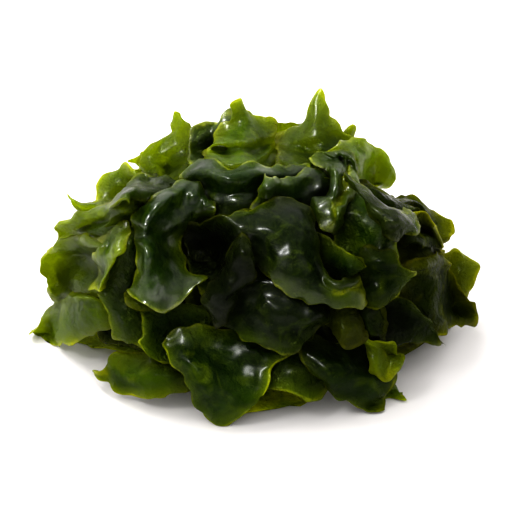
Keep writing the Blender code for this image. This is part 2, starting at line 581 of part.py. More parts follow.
FRONT_MIDDLE = {
    "front_lobe": ("wet_green", (2, 2), [
        [(174, 331, -2), (194, 330, -3), (215, 329, -6), (240, 334, -7), (266, 342, -7)],
        [(166, 345, 0), (190, 348, -1), (214, 350, -4), (244, 350, -4), (285, 356, -4)],
        [(172, 362, 1), (193, 365, 2), (216, 367, 0), (240, 367, -3), (272, 368, -2)],
        [(190, 381, 1), (204, 382, 3), (217, 380, 2), (242, 386, -1), (269, 384, 0)],
        [(197, 401, 0), (208, 402, 1), (220, 402, 0), (246, 401, 1), (260, 396, 0)],
        [(207, 415, -1), (215, 420, -1), (225, 420, -1), (238, 414, 0), (248, 408, 0)],
    ]),
    "middle_disc": ("wet_dark_green", (2, 2), [
        [(240, 270, -7), (262, 270, -7), (285, 273, -7), (306, 282, -7), (326, 294, -7)],
        [(231, 292, -4), (256, 291, -3), (280, 292, -2), (305, 298, -3), (329, 307, -5)],
        [(225, 311, -3), (250, 313, 0), (276, 313, 2), (301, 316, 0), (326, 321, -4)],
        [(224, 327, -2), (248, 330, 0), (275, 332, 2), (297, 333, 1), (316, 332, -2)],
        [(238, 335, -1), (253, 339, 0), (274, 351, 1), (294, 353, 1), (307, 341, -2)],
    ]),
    "hood_blade": ("wet_dark_green", (2, 2), [
        [(192, 222, -3), (190, 230, -6), (188, 240, -9), (189, 252, -10)],
        [(220, 217, 0), (217, 229, -4), (214, 243, -9), (212, 258, -11)],
        [(246, 208, 2), (242, 223, 0), (238, 241, -6), (236, 260, -9)],
        [(274, 202, 3), (272, 221, 3), (266, 243, -1), (258, 264, -5)],
        [(301, 207, 3), (296, 226, 6), (286, 250, 5), (270, 276, 0)],
        [(316, 230, 3), (309, 246, 6), (299, 265, 6), (284, 287, 2)],
        [(322, 254, 2), (318, 268, 4), (311, 282, 5), (302, 299, 2)],
        [(333, 278, 0), (331, 287, 2), (328, 295, 3), (324, 304, 2)],
        [(363, 278, -1), (364, 287, 0), (364, 295, 1), (363, 304, 1)],
    ]),
    "narrow_leaf": ("wet_dark_green", (1, 2), [
        [(238, 239, -2), (244, 236, -2), (250, 241, -2)],
        [(231, 253, -1), (243, 252, 1), (255, 256, -1)],
        [(222, 269, -1), (238, 270, 2), (257, 273, -1)],
        [(210, 284, 0), (228, 287, 3), (244, 288, 0)],
        [(202, 301, 0), (217, 302, 3), (233, 301, 0)],
        [(209, 318, -1), (215, 324, 0), (224, 318, -1)],
    ]),
}

# The far side, which the picture doesn't show: ruffled leaves in two rows, each read by an eye
# of its own behind the heap. The low ones come down to the floor. A leaf is (azimuth, middle u
# and v, half width and height, turn, out).
FAR_SIDE = {
    "far_top_leaf": (184, 256, 250, 70, 34, -5, -13),
    "far_low_leaf_1": (88, 258, 352, 56, 62, 8, -10),
    "far_low_leaf_2": (126, 258, 356, 60, 56, 8, -9),
    "far_low_leaf_3": (160, 262, 358, 58, 50, -10, -8),
    "far_low_leaf_4": (198, 252, 358, 60, 50, 8, -8),
    "far_low_leaf_5": (234, 258, 356, 58, 54, -8, -9),
    "far_low_leaf_6": (270, 256, 352, 52, 58, 10, -11),
    "far_mid_leaf_1": (152, 256, 296, 62, 44, -16, -13),
    "far_mid_leaf_2": (210, 256, 294, 62, 44, 16, -13),
}
FAR_TONES = ("wet_dark_green", "wet_green", "wet_yellow_green", "wet_green", "wet_olive")
FAR_WAVE_MM = 3.0


def ruffled_net(u, v, half_width, half_height, turn_deg, out_mm, phase):
    """A net for a leaf of rounded outline whose rim waves in and out."""
    rows, columns = 5, 5
    turn = math.radians(turn_deg)
    net = []
    for i in range(rows):
        row = []
        for j in range(columns):
            x, y = 2 * j / (columns - 1) - 1, 2 * i / (rows - 1) - 1
            across = x * math.sqrt(1 - y * y / 3) * half_width
            down = y * math.sqrt(1 - x * x / 3) * half_height
            rim = max(abs(x), abs(y))
            wave = math.sin(phase + 4.2 * math.atan2(y, x)) * rim
            swell = 1 + 0.12 * wave
            out = out_mm + FAR_WAVE_MM * (wave + 1 - rim)
            row.append((
                u + swell * (across * math.cos(turn) - down * math.sin(turn)),
                v + swell * (across * math.sin(turn) + down * math.cos(turn)),
                out,
            ))
        net.append(row)
    return net


def clear_scene():
    for obj in list(bpy.data.objects):
        bpy.data.objects.remove(obj)
    collection = bpy.data.collections.new("seaweed_heap")
    bpy.context.scene.collection.children.link(collection)
    return collection


def stand_on_floor(blades):
    """Moves the meshes so that the origin is under the middle of the heap, on the floor."""
    corners = [p for blade in blades for p in solid_mesh(blade, BLADE_THICKNESS)[0]]
    low = Vector(min(p[k] for p in corners) for k in range(3))
    high = Vector(max(p[k] for p in corners) for k in range(3))
    shift = Vector((-(low.x + high.x) / 2, -(low.y + high.y) / 2, -low.z))
    for blade in blades:
        for vertex in blade.data.vertices:
            vertex.co += shift
    print("shift in mm:", [round(1000 * s, 2) for s in shift])
    print("size in mm:", [round(1000 * s, 1) for s in high - low])


def main():
    clear_scene()
    heap = Heap()
    front = Eye(0)
    blades = []
    for group in (FLOOR_BLADES, INNER_BLADES):
        for name, (tone, splits, net) in group.items():
            blades.append(lay(heap, front, name, tone, splits, net))
    for i, (name, (azimuth, *leaf)) in enumerate(FAR_SIDE.items()):
        tone = FAR_TONES[i % len(FAR_TONES)]
        net = ruffled_net(*leaf, phase=1.7 * i)
        blades.append(lay(heap, Eye(azimuth), name, tone, (1, 1), net))
    for group in (BACK_ROW, LEFT_SIDE, TOP_MIDDLE, RIGHT_SIDE, FRONT_RIGHT, RIGHT_MIDDLE,
                  MIDDLE, FRONT_MIDDLE):
        for name, (tone, splits, net) in group.items():
            blades.append(lay(heap, front, name, tone, splits, net))
    stand_on_floor(blades)


main()
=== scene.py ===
# %% [markdown]
# # A heap of wet seaweed
# The real object is a soaked portion of wakame-like leaf: many cut pieces, each a thin, slippery
# sheet, dropped on a white table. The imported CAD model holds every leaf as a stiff, faceted solid.
# This script dresses it. Each solid becomes a soft, rounded, rippled sheet, and one wet skin with
# four tones covers them all. The cells run from top to bottom.

# %% Load the frame
import json
import math

import bmesh
import bpy
import numpy as np
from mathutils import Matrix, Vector, noise
from mathutils.bvhtree import BVHTree


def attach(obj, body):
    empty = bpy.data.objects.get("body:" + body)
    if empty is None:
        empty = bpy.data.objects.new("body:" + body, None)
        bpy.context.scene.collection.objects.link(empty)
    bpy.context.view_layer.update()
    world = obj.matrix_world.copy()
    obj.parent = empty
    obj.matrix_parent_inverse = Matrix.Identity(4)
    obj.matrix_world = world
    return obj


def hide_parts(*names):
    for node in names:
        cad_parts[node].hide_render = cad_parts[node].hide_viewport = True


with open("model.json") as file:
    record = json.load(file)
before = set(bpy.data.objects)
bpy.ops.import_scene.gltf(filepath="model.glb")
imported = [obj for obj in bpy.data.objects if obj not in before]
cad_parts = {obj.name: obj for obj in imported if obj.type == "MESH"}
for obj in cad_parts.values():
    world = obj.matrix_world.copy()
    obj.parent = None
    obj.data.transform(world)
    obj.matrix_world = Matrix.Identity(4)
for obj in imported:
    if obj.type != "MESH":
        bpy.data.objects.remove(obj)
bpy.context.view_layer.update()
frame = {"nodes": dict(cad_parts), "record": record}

# %% [markdown]
# The photo was taken from in front and above, from far enough away that the heap shows almost no
# perspective. The heap's foot curves as it would from 32 degrees above the table. The camera looks
# at a point 18 mm above the middle of the foot, measured in the picture, which puts the heap where
# the photo has it.

# %% Camera
CAMERA_DISTANCE = 0.64
CAMERA_ELEVATION = math.radians(32)
CAMERA_LENS_MM = 180
PICTURE_RISE = 0.018
FOOT_MIDDLE = Vector((0.00047, 0.00031, 0))

towards = Vector((0, -math.cos(CAMERA_ELEVATION), math.sin(CAMERA_ELEVATION)))
up = Vector((0, math.sin(CAMERA_ELEVATION), math.cos(CAMERA_ELEVATION)))
target = FOOT_MIDDLE + up * PICTURE_RISE

camera = bpy.data.objects.new("camera", bpy.data.cameras.new("camera"))
camera.data.lens = CAMERA_LENS_MM
camera.data.clip_start = 0.01
camera.location = target + towards * CAMERA_DISTANCE
camera.rotation_euler = (-towards).to_track_quat("-Z", "Y").to_euler()
bpy.context.scene.collection.objects.link(camera)
bpy.context.scene.camera = camera
print("camera at", [round(x, 3) for x in camera.location])

# %% [markdown]
# The table is a plain pale surface. One large flat face is enough, because the photo shows no edge
# and no grain in it. It is only a stage: it isn't part of the seaweed.

# %% Table
FLOOR_SIDE = 6.0
FLOOR_COLOUR = (0.69, 0.672, 0.667, 1)


def new_material(name):
    """A material with a node tree, its tree and its Principled shader."""
    made = bpy.data.materials.new(name)
    made.use_nodes = True
    return made, made.node_tree, made.node_tree.nodes["Principled BSDF"]


def new_object(name, mesh):
    made = bpy.data.objects.new(name, mesh)
    bpy.context.scene.collection.objects.link(made)
    return made


floor_mesh = bpy.data.meshes.new("table_top")
shape = bmesh.new()
bmesh.ops.create_grid(shape, x_segments=1, y_segments=1, size=FLOOR_SIDE / 2)
shape.to_mesh(floor_mesh)
shape.free()
floor = new_object("table_top", floor_mesh)
floor_material, _, shader = new_material("table")
shader.inputs["Base Color"].default_value = FLOOR_COLOUR
shader.inputs["Roughness"].default_value = 0.6
shader.inputs["Specular IOR Level"].default_value = 0.2
floor_mesh.materials.append(floor_material)
print("table of", FLOOR_SIDE, "m")

# %% [markdown]
# The photo's light is a bright white room. It is brightest overhead, behind the heap and on its
# left, so the upper leaves are lit through and the only shadow is a faint one on the right. A world
# with soft ramps does that with no hard edges. Leaves mirror it at a little less than half its
# strength, which keeps the dark leaves dark, as they are in the photo.

# %% Bright room
# How bright the world is at the zenith and at the horizon, and how much brighter behind the heap
# and on its left.
ZENITH, HORIZON, BACKDROP, LEFT_SIDE = 1.16, 0.30, 0.72, 0.36
SKY_IN_GLOSS = 0.45
WORLD_COLOUR = (1.0, 0.99, 0.98, 1)

world = bpy.data.worlds.new("studio")
world.use_nodes = True
sky = world.node_tree
direction = sky.nodes.new("ShaderNodeTexCoord")
parts = sky.nodes.new("ShaderNodeSeparateXYZ")
sky.links.new(direction.outputs["Generated"], parts.inputs["Vector"])


def sky_ramp(source, low, high, to_low, to_high):
    """A soft change of the world's strength with one value."""
    made = sky.nodes.new("ShaderNodeMapRange")
    made.interpolation_type = "SMOOTHSTEP"
    for name, value in (("From Min", low), ("From Max", high), ("To Min", to_low),
                        ("To Max", to_high)):
        made.inputs[name].default_value = value
    sky.links.new(source, made.inputs["Value"])
    return made.outputs["Result"]


def sky_math(operation, a, b):
    made = sky.nodes.new("ShaderNodeMath")
    made.operation = operation
    sky.links.new(a, made.inputs[0])
    sky.links.new(b, made.inputs[1])
    return made.outputs["Value"]


strength = sky_ramp(parts.outputs["Z"], 0.0, 0.9, HORIZON, ZENITH)
strength = sky_math("ADD", strength, sky_ramp(parts.outputs["Y"], 0.1, 0.9, 0.0, BACKDROP))
strength = sky_math("ADD", strength, sky_ramp(parts.outputs["X"], -0.9, 0.2, LEFT_SIDE, 0.0))
path = sky.nodes.new("ShaderNodeLightPath")
mirrored = sky_ramp(path.outputs["Is Glossy Ray"], 0.0, 1.0, 1.0, SKY_IN_GLOSS)
background = sky.nodes["Background"]
sky.links.new(sky_math("MULTIPLY", strength, mirrored), background.inputs["Strength"])
background.inputs["Color"].default_value = WORLD_COLOUR
bpy.context.scene.world = world
print("world brightness up", ZENITH, "and level", HORIZON)

# %% [markdown]
# Three soft lamps add direction. One window stands high behind the heap on the left, and one lamp
# high in front on the left. The third is only seen as a reflection, which no real lamp does: it
# draws the wet highlights without adding light to the table. The picture's contrast is raised, to
# come near the photo's.

# %% Lamps
# Where each lamp's light comes from as (azimuth, elevation) in degrees, how wide it looks, its
# strength and its colour. Azimuth 0 is the camera's side, and 90 is on its right.
LAMPS = {
    "back_left_window": ((240, 60), 22, 0.95, (1.0, 0.99, 0.97)),
    "front_left_lamp": ((-58, 52), 12, 0.50, (1.0, 1.0, 1.0)),
    "sheen_lamp": ((-34, 62), 9, 3.9, (1.0, 1.0, 1.0)),
}
MIRRORED_ONLY = "sheen_lamp"
EXPOSURE = 0.18


def direction_of(azimuth_deg, elevation_deg):
    azimuth, elevation = math.radians(azimuth_deg), math.radians(elevation_deg)
    level = Vector((math.sin(azimuth), -math.cos(azimuth), 0))
    return level * math.cos(elevation) + Vector((0, 0, math.sin(elevation)))


for name, (angles, width, power, colour) in LAMPS.items():
    lamp = bpy.data.objects.new(name, bpy.data.lights.new(name, "SUN"))
    lamp.data.angle = math.radians(width)
    lamp.data.energy = power
    lamp.data.color = colour
    lamp.visible_diffuse = name != MIRRORED_ONLY
    lamp.location = direction_of(*angles)
    lamp.rotation_euler = (-direction_of(*angles)).to_track_quat("-Z", "Y").to_euler()
    bpy.context.scene.collection.objects.link(lamp)

view = bpy.context.scene.view_settings
view.view_transform, view.look, view.exposure = "Standard", "High Contrast", EXPOSURE
print(len(LAMPS), "lamps")

# %% [markdown]
# A wet leaf is a dark, glossy skin over a sheet that glows yellow green wherever it is thin. One
# node group makes that skin for all four tones. Short helpers keep its node wiring readable.

# %% Node helpers


def link(tree, out_socket, in_socket):
    tree.links.new(out_socket, in_socket)


def add_node(tree, kind, **inputs):
    """A node with values on some of its inputs."""
    made = tree.nodes.new(kind)
    for name, value in inputs.items():
        made.inputs[name.replace("_", " ")].default_value = value
    return made


def add_noise(tree, coordinates, scale, detail, roughness=0.5, distortion=0.0):
    made = add_node(tree, "ShaderNodeTexNoise", Scale=scale, Detail=detail, Roughness=roughness,
                    Distortion=distortion)
    link(tree, coordinates, made.inputs["Vector"])
    return made.outputs["Fac"]


def add_range(tree, value, low, high, to_low=0.0, to_high=1.0):
    made = add_node(tree, "ShaderNodeMapRange", From_Min=low, From_Max=high, To_Min=to_low,
                    To_Max=to_high)
    link(tree, value, made.inputs["Value"])
    return made.outputs["Result"]


def add_attribute(tree, name):
    """The value that the leaf's mesh carries under this name."""
    made = tree.nodes.new("ShaderNodeAttribute")
    made.attribute_name = name
    return made.outputs["Fac"]


# %% More node helpers


def set_or_link(tree, socket, value):
    """Puts a plain value on a socket, or links another socket to it."""
    if isinstance(value, (int, float, tuple)):
        socket.default_value = value
    else:
        link(tree, value, socket)


def add_math(tree, operation, a, b):
    made = tree.nodes.new("ShaderNodeMath")
    made.operation = operation
    set_or_link(tree, made.inputs[0], a)
    set_or_link(tree, made.inputs[1], b)
    return made.outputs["Value"]


def add_mix(tree, factor, a, b, blend="MIX"):
    """A colour mix. a and b are sockets or colours."""
    made = tree.nodes.new("ShaderNodeMix")
    made.data_type = "RGBA"
    made.blend_type = blend
    for name, value in (("Factor_Float", factor), ("A_Color", a), ("B_Color", b)):
        set_or_link(tree, next(s for s in made.inputs if s.identifier == name), value)
    return next(s for s in made.outputs if s.identifier == "Result_Color")


# %% [markdown]
# The skin's colour runs from a deep green to lighter blotches about a centimetre wide. Near the rim
# the leaf thins out and turns yellow green over 4 mm, partly its own colour and partly painted glow
# of light through the thin rim. The cut rim itself carries a broken pale line half a millimetre wide,
# a painted highlight where it catches the light. Thin patches inside the leaf take the rim's colour
# too, partly as painted glow. The attributes come from the leaf's mesh: "inward" is the distance from
# its rim in metres, and "shade" is painted shade times the leaf's lightness, which darkens the skin and
# its rim colours in the hollows between leaves.

# %% Skin colour
RIM_HIGHLIGHT_WIDTH = 0.0005
EDGE_WIDTH = 0.0042


def skin_colour(group, place, given):
    """The colour of the leaf at each place, from the group's four colours."""
    blotches = add_range(group, add_noise(group, place, 90, 3), 0.35, 0.65)
    mottle = add_range(group, add_noise(group, place, 520, 3, 0.6), 0.3, 0.7)
    inward = add_attribute(group, "inward")
    shade = add_attribute(group, "shade")

    # Painted highlight: a broken pale line where the cut rim catches the light.
    rim_highlight = add_range(group, inward, 0.0, RIM_HIGHLIGHT_WIDTH, 1.0, 0.0)
    rim_highlight = add_math(group, "MULTIPLY", rim_highlight, add_range(group, mottle, 0.0, 1.0, 0.1, 1.0))
    # Yellow green near the rim and in thin patches: partly the leaf's own colour, partly painted glow.
    edge = add_math(group, "POWER", add_range(group, inward, 0.0, EDGE_WIDTH, 1.0, 0.0), 1.5)
    edge = add_math(group, "MULTIPLY", edge, add_range(group, blotches, 0.0, 1.0, 0.35, 1.0))
    thin = add_range(group, add_noise(group, place, 150, 4, 0.6, 1.5), 0.50, 0.72, 0.0, 0.42)
    edge = add_math(group, "MAXIMUM", edge, thin)

    patchy = add_math(group, "ADD", add_math(group, "MULTIPLY", blotches, 0.65),
                      add_math(group, "MULTIPLY", mottle, 0.35))
    skin = add_mix(group, patchy, given["Deep"], given["Light"])
    # Painted shade: the skin darkens in the hollows between leaves and under the hood, times the leaf's
    # lightness.
    skin = add_mix(group, 1.0, skin, shade, "MULTIPLY")
    lit = add_mix(group, rim_highlight, given["Edge"], given["Rim_highlight"])
    # The rim colours take the painted shade too, but are never lightened by it.
    lit = add_mix(group, 1.0, lit, add_math(group, "MINIMUM", shade, 1.0), "MULTIPLY")
    return add_mix(group, edge, skin, lit)


# %% [markdown]
# Water lies on the leaf as an uneven film. Where it is thick the leaf mirrors the room, and where
# it has run off the skin is duller. The skin has soft wrinkles a few millimetres long with a fine
# grain on them. The attribute "gloss" says how much water a leaf carries.

# %% Wet film and group


def wet_film(group, place):
    """Roughness of the skin, and how strong the film of water is."""
    rough = add_range(group, add_noise(group, place, 240, 4), 0.3, 0.7, 0.10, 0.24)
    film = add_range(group, add_noise(group, place, 130, 3), 0.38, 0.60, 0.3, 1.0)
    return rough, add_math(group, "MULTIPLY", film, add_attribute(group, "gloss"))


def skin_relief(group, place):
    soft = add_noise(group, place, 360, 4, 0.55, 0.8)
    fine = add_noise(group, place, 1300, 3, 0.6)
    return add_math(group, "ADD", add_math(group, "MULTIPLY", soft, 0.75),
                    add_math(group, "MULTIPLY", fine, 0.25))


def make_skin_group():
    group = bpy.data.node_groups.new("wet_leaf_skin", "ShaderNodeTree")
    face = group.interface
    for name in ("Deep", "Light", "Edge", "Rim_highlight"):
        face.new_socket(name=name, in_out="INPUT", socket_type="NodeSocketColor")
    for name, kind in (("Colour", "NodeSocketColor"), ("Roughness", "NodeSocketFloat"),
                       ("Film", "NodeSocketFloat"), ("Relief", "NodeSocketFloat")):
        face.new_socket(name=name, in_out="OUTPUT", socket_type=kind)
    given = group.nodes.new("NodeGroupInput").outputs
    result = group.nodes.new("NodeGroupOutput").inputs
    place = group.nodes.new("ShaderNodeTexCoord").outputs["Object"]
    rough, film = wet_film(group, place)
    link(group, skin_colour(group, place, given), result["Colour"])
    link(group, rough, result["Roughness"])
    link(group, film, result["Film"])
    link(group, skin_relief(group, place), result["Relief"])
    return group


skin_group = make_skin_group()
print("skin group with", len(skin_group.nodes), "nodes")

# %% [markdown]
# The photo shows four tones: nearly black green in the middle, plain green, bright yellow green on
# the left and at the top, and olive on the right. They are partly the leaves' own colours and partly
# painted light: the yellow green stands where leaves are lit from behind, the nearly black green
# where the middle lies in shade. The glow is the light that comes through the leaf. It is a second
# shader mixed in by a plain number. Each tone comes in three copies: a dim one with less glow and
# less mirror, as painted shade for leaves that lie under others, a plain one, and one with more glow
# for thin leaves that stand free, partly for their thinness and partly as painted light.

# %% Leaf tones
# Each row: colour deep inside, colour of the light blotches, colour near the rim (partly painted
# glow), colour of the cut rim (a painted highlight), colour of the light that comes through the leaf,
# and how much comes through.
LEAF_TONES = {
    "wet_dark_green": ((0.0014, 0.0050, 0.0004, 1), (0.008, 0.018, 0.0006, 1),
                       (0.075, 0.115, 0.0006, 1), (0.30, 0.34, 0.004, 1), (0.36, 0.54, 0.003, 1), 0.09),
    "wet_green": ((0.0024, 0.0090, 0.0004, 1), (0.018, 0.038, 0.0006, 1),
                  (0.110, 0.155, 0.0006, 1), (0.36, 0.40, 0.004, 1), (0.50, 0.74, 0.003, 1), 0.18),
    "wet_yellow_green": ((0.009, 0.028, 0.0006, 1), (0.074, 0.132, 0.0006, 1),
                         (0.280, 0.340, 0.0006, 1), (0.62, 0.62, 0.004, 1), (0.88, 1.0, 0.003, 1), 0.34),
    "wet_olive": ((0.0040, 0.0090, 0.0004, 1), (0.022, 0.035, 0.0006, 1),
                  (0.140, 0.158, 0.0006, 1), (0.38, 0.38, 0.004, 1), (0.70, 0.76, 0.003, 1), 0.20),
}
# For leaves that lie in the heap's shade (a dim copy, as painted shade), for most leaves and for
# thin ones that stand free (partly thinness, partly painted light): share of the tone's light that
# comes through, and specular level.
CLEARNESS_AND_LIGHT = {"dim": (0.35, 0.07), "plain": (1.0, 0.22), "thin": (1.5, 0.26)}
DIM_LEAVES = {
    "hood_wall", "inner_blade_left", "inner_blade_top", "inner_blade_right", "inner_blade_front",
    "right_big_leaf", "right_front_plate", "middle_disc", "curl_under_glossy", "floor_blade_right",
    "floor_blade_front", "right_inner_leaf", "glossy_blade", "hood_blade", "top_folded_blade",
    "bottom_left_leaf", "low_right_blade", "right_far_leaf", "right_dark_strip", "narrow_leaf",
    "right_lower_blade", "front_lobe", "top_grey_blade", "right_hollow_leaf", "pale_fold_blade",
}
THIN_LEAVES = {"thumb_blade", "right_small_leaf", "left_horn_leaf", "olive_leaf", "back_horn"}

# %% Leaf materials
RELIEF_DEPTH = 0.0018
SHEEN_TINT = (0.80, 1.0, 0.25, 1)


def make_leaf_material(name, deep, light, edge, rim_highlight, glow, clear, mirror):
    material, tree, shader = new_material(name)
    group = tree.nodes.new("ShaderNodeGroup")
    group.node_tree = skin_group
    for socket, value in (("Deep", deep), ("Light", light), ("Edge", edge), ("Rim_highlight", rim_highlight)):
        group.inputs[socket].default_value = value
    bump = add_node(tree, "ShaderNodeBump", Strength=1.0, Distance=RELIEF_DEPTH)
    link(tree, group.outputs["Relief"], bump.inputs["Height"])
    link(tree, group.outputs["Colour"], shader.inputs["Base Color"])
    link(tree, group.outputs["Roughness"], shader.inputs["Roughness"])
    link(tree, group.outputs["Film"], shader.inputs["Coat Weight"])
    link(tree, bump.outputs["Normal"], shader.inputs["Normal"])
    for socket, value in (("IOR", 1.40), ("Specular IOR Level", mirror), ("Coat IOR", 1.8),
                          ("Specular Tint", SHEEN_TINT), ("Coat Roughness", 0.28)):
        shader.inputs[socket].default_value = value
    through = add_node(tree, "ShaderNodeBsdfTranslucent", Color=glow)
    link(tree, bump.outputs["Normal"], through.inputs["Normal"])
    mix = add_node(tree, "ShaderNodeMixShader", Fac=clear)
    link(tree, shader.outputs["BSDF"], mix.inputs[1])
    link(tree, through.outputs["BSDF"], mix.inputs[2])
    link(tree, mix.outputs["Shader"], tree.nodes["Material Output"].inputs["Surface"])
    return material


leaf_materials = {}
# Each tone comes in a dim copy (painted shade), a plain one and a thin one (partly painted light).
for tone, row in LEAF_TONES.items():
    for word, (share, mirror) in CLEARNESS_AND_LIGHT.items():
        made = make_leaf_material(f"{tone}_{word}", *row[:-1], row[-1] * share, mirror)
        leaf_materials[tone, word] = made
print(len(leaf_materials), "leaf materials")

# %% [markdown]
# A leaf starts from the cage of its own CAD solid, so it keeps its place and its outline. The
# solid's triangles are joined back into quads, which round off evenly. A real leaf thins out
# towards its cut rim, so the two sides are brought together there.

# %% Cage and thin rim
WELD = 2e-5
RIM_EDGE = 0.00105
RIM_SHARE = 0.55


def cage_of(node):
    """The node's mesh as a bmesh of mostly quads."""
    cage = bmesh.new()
    cage.from_mesh(node.data)
    bmesh.ops.remove_doubles(cage, verts=cage.verts, dist=WELD)
    bmesh.ops.join_triangles(
        cage, faces=cage.faces, angle_face_threshold=math.radians(80),
        angle_shape_threshold=math.radians(60), topology_influence=1.5)
    return cage


def thin_rim(cage):
    """Brings the two sides of the leaf together at its rim."""
    for edge in cage.edges:
        if edge.calc_length() < RIM_EDGE:
            a, b = (v.co.copy() for v in edge.verts)
            middle = (a + b) / 2
            edge.verts[0].co = middle + (a - middle) * RIM_SHARE
            edge.verts[1].co = middle + (b - middle) * RIM_SHARE


# %% [markdown]
# The skin needs to know how far each place is from the rim. The only short edges of a cage are the
# ones that cross the rim, so the distance is counted from them along the other edges.

# %% Distance from the rim
FULL_INWARD = 0.02
INWARD_STEPS = 12


def measure_inward(cage):
    """Each vertex's distance from the leaf's rim along the cage's edges."""
    near = {v: FULL_INWARD for v in cage.verts}
    for edge in cage.edges:
        if edge.calc_length() < RIM_EDGE:
            near[edge.verts[0]] = near[edge.verts[1]] = 0.0
    for _ in range(INWARD_STEPS):
        for edge in cage.edges:
            a, b = edge.verts
            length = edge.calc_length()
            near[a] = min(near[a], near[b] + length)
            near[b] = min(near[b], near[a] + length)
    return [near[v] for v in cage.verts]


# %% [markdown]
# Under the hood the photo shows a deep, almost black hollow. The stiff solids fill it more than the
# real leaves do. So the leaves in its mouth are pushed back by up to 8.5 mm, away from the camera's
# side, and there they part from their solids. Their skin there also gets nearly black painted shade,
# and no water.

# %% The hollow under the hood
PIXEL = 0.00025
PICTURE_MIDDLE = 256
# The middle of the hollow's mouth in the picture, and how far it stands in front of the target.
HOLLOW_PIXEL, HOLLOW_NEARNESS = (207, 243), 0.044
HOLLOW_RADIUS, HOLLOW_DEPTH, HOLLOW_REACH, HOLLOW_SHADOW = 0.0085, 0.0085, 0.024, 0.010


def picture_place(u, v, nearness):
    """The place behind pixel (u, v), a distance in front of the plane of the target."""
    across, rise = (u - PICTURE_MIDDLE) * PIXEL, (PICTURE_MIDDLE - v) * PIXEL
    on_plane = target + Vector((1, 0, 0)) * across + up * rise
    return on_plane + (camera.location - on_plane).normalized() * nearness


hollow_mouth = picture_place(*HOLLOW_PIXEL, HOLLOW_NEARNESS)


def from_mouth(place):
    """How far a place lies behind the hollow's mouth, and how far from its middle line."""
    offset = place - hollow_mouth
    behind = offset.dot(-towards)
    return behind, (offset + towards * behind).length


def hollow(place):
    """How far the hollow pushes a place back."""
    behind, aside = from_mouth(place)
    near = max(0.0, 1 - (aside / HOLLOW_RADIUS) ** 2)
    deep = min(1.0, max(0.0, 1 - behind / HOLLOW_REACH))
    return -towards * HOLLOW_DEPTH * near**2 * deep


def under_hood(place):
    """1 in the middle of the hollow, 0 outside it."""
    return max(0.0, 1 - (from_mouth(place)[1] / HOLLOW_SHADOW) ** 2)


print("hollow at", [round(1000 * x, 1) for x in hollow_mouth], "mm")

# %% [markdown]
# Where leaves lie close together, little light gets in and the green turns almost black. Rays from
# each vertex count how much of its surroundings is open. This is worked out once on the stiff
# solids and becomes painted shade in the skin's colour.

# %% Shade between leaves
OPEN_START, OPEN_REACH, OPEN_RAYS = 0.0006, 0.016, 40
HOLLOW_SHADE, SHADE_POWER = 0.08, 1.8
# How much painted shade darkens the skin in the middle of the hollow under the hood.
UNDER_HOOD_PAINTED_SHADE = 0.93


def spread_directions(count):
    """Unit vectors spread evenly over the sphere, on a spiral from pole to pole."""
    found = []
    for i in range(count):
        z = 1 - (2 * i + 1) / count
        turn = i * math.pi * (3 - math.sqrt(5))
        level = math.sqrt(1 - z * z)
        found.append(Vector((level * math.cos(turn), level * math.sin(turn), z)))
    return found


def tree_of(nodes):
    """One search tree of all the given nodes' faces."""
    corners, faces = [], []
    for node in nodes:
        start = len(corners)
        corners += [v.co.copy() for v in node.data.vertices]
        faces += [tuple(i + start for i in face.vertices) for face in node.data.polygons]
    return BVHTree.FromPolygons(corners, faces)


open_directions = spread_directions(OPEN_RAYS)
heap_tree = tree_of(frame["nodes"].values())


def measure_shade(cage, most):
    """How light each vertex is painted: painted shade in the hollows between leaves and under the hood,
    up to the given most.
    """
    shades = []
    for vertex in cage.verts:
        start = vertex.co + vertex.normal * OPEN_START
        seen = [d for d in open_directions if d.dot(vertex.normal) > 0.1]
        clear = sum(heap_tree.ray_cast(start, d, OPEN_REACH)[0] is None for d in seen) / len(seen)
        # Painted shade: darker where fewer rays get out, and nearly black under the hood.
        light = HOLLOW_SHADE + (1 - HOLLOW_SHADE) * clear**SHADE_POWER
        shades.append(most * light * (1 - UNDER_HOOD_PAINTED_SHADE * under_hood(vertex.co)))
    return shades


print("shade from", OPEN_RAYS, "directions")

# %% [markdown]
# Four tones are too few for sixty leaves. On the real heap some are thicker, drier or better lit
# than others of their tone. So most visible leaves have a lightness of their own, partly their own
# colour and partly painted light and shade, and some have an amount of water. These factors were
# set one by one, by comparing each leaf with the photo.

# %% Lightness and water of single leaves
# Leaves that are darker or lighter than their tone, partly in their own colour and partly in
# painted light and shade. The others have 1.
LEAF_TONE_AND_LIGHT = {
    "glossy_blade": 4.0, "top_grey_blade": 3.4, "top_folded_blade": 3.6, "back_grey_blade": 3.6,
    "right_green_blade": 3.8, "right_back_lobe": 2.2, "right_small_leaf": 2.0, "thumb_blade": 0.78,
    "tall_back_blade": 1.3, "floor_blade_front": 4.5, "floor_blade_left": 4.5,
    "floor_blade_right": 4.5, "low_right_tail": 1.6, "front_left_blade": 1.4, "right_fold_blade": 1.6,
    "right_big_leaf": 0.9, "bottom_left_leaf": 0.7, "middle_disc": 0.8, "hood_wall": 1.6,
    "right_front_plate": 0.6, "low_right_blade": 0.8, "right_far_leaf": 0.9, "front_lobe": 1.35,
    "right_dark_strip": 0.6, "right_hollow_leaf": 1.2, "inner_blade_top": 0.3,
    "narrow_leaf": 0.35, "right_lower_blade": 0.7, "right_inner_leaf": 0.8, "olive_leaf": 0.35,
    "holed_lobe": 0.6, "pale_fold_blade": 0.5, "curl_under_glossy": 0.4, "right_tongue_leaf": 0.65,
    "left_standing_blade": 0.9, "left_pointed_leaf": 0.9, "speckled_leaf": 1.2,
    "upper_left_lobe": 1.05, "front_right_flap": 0.8,
}
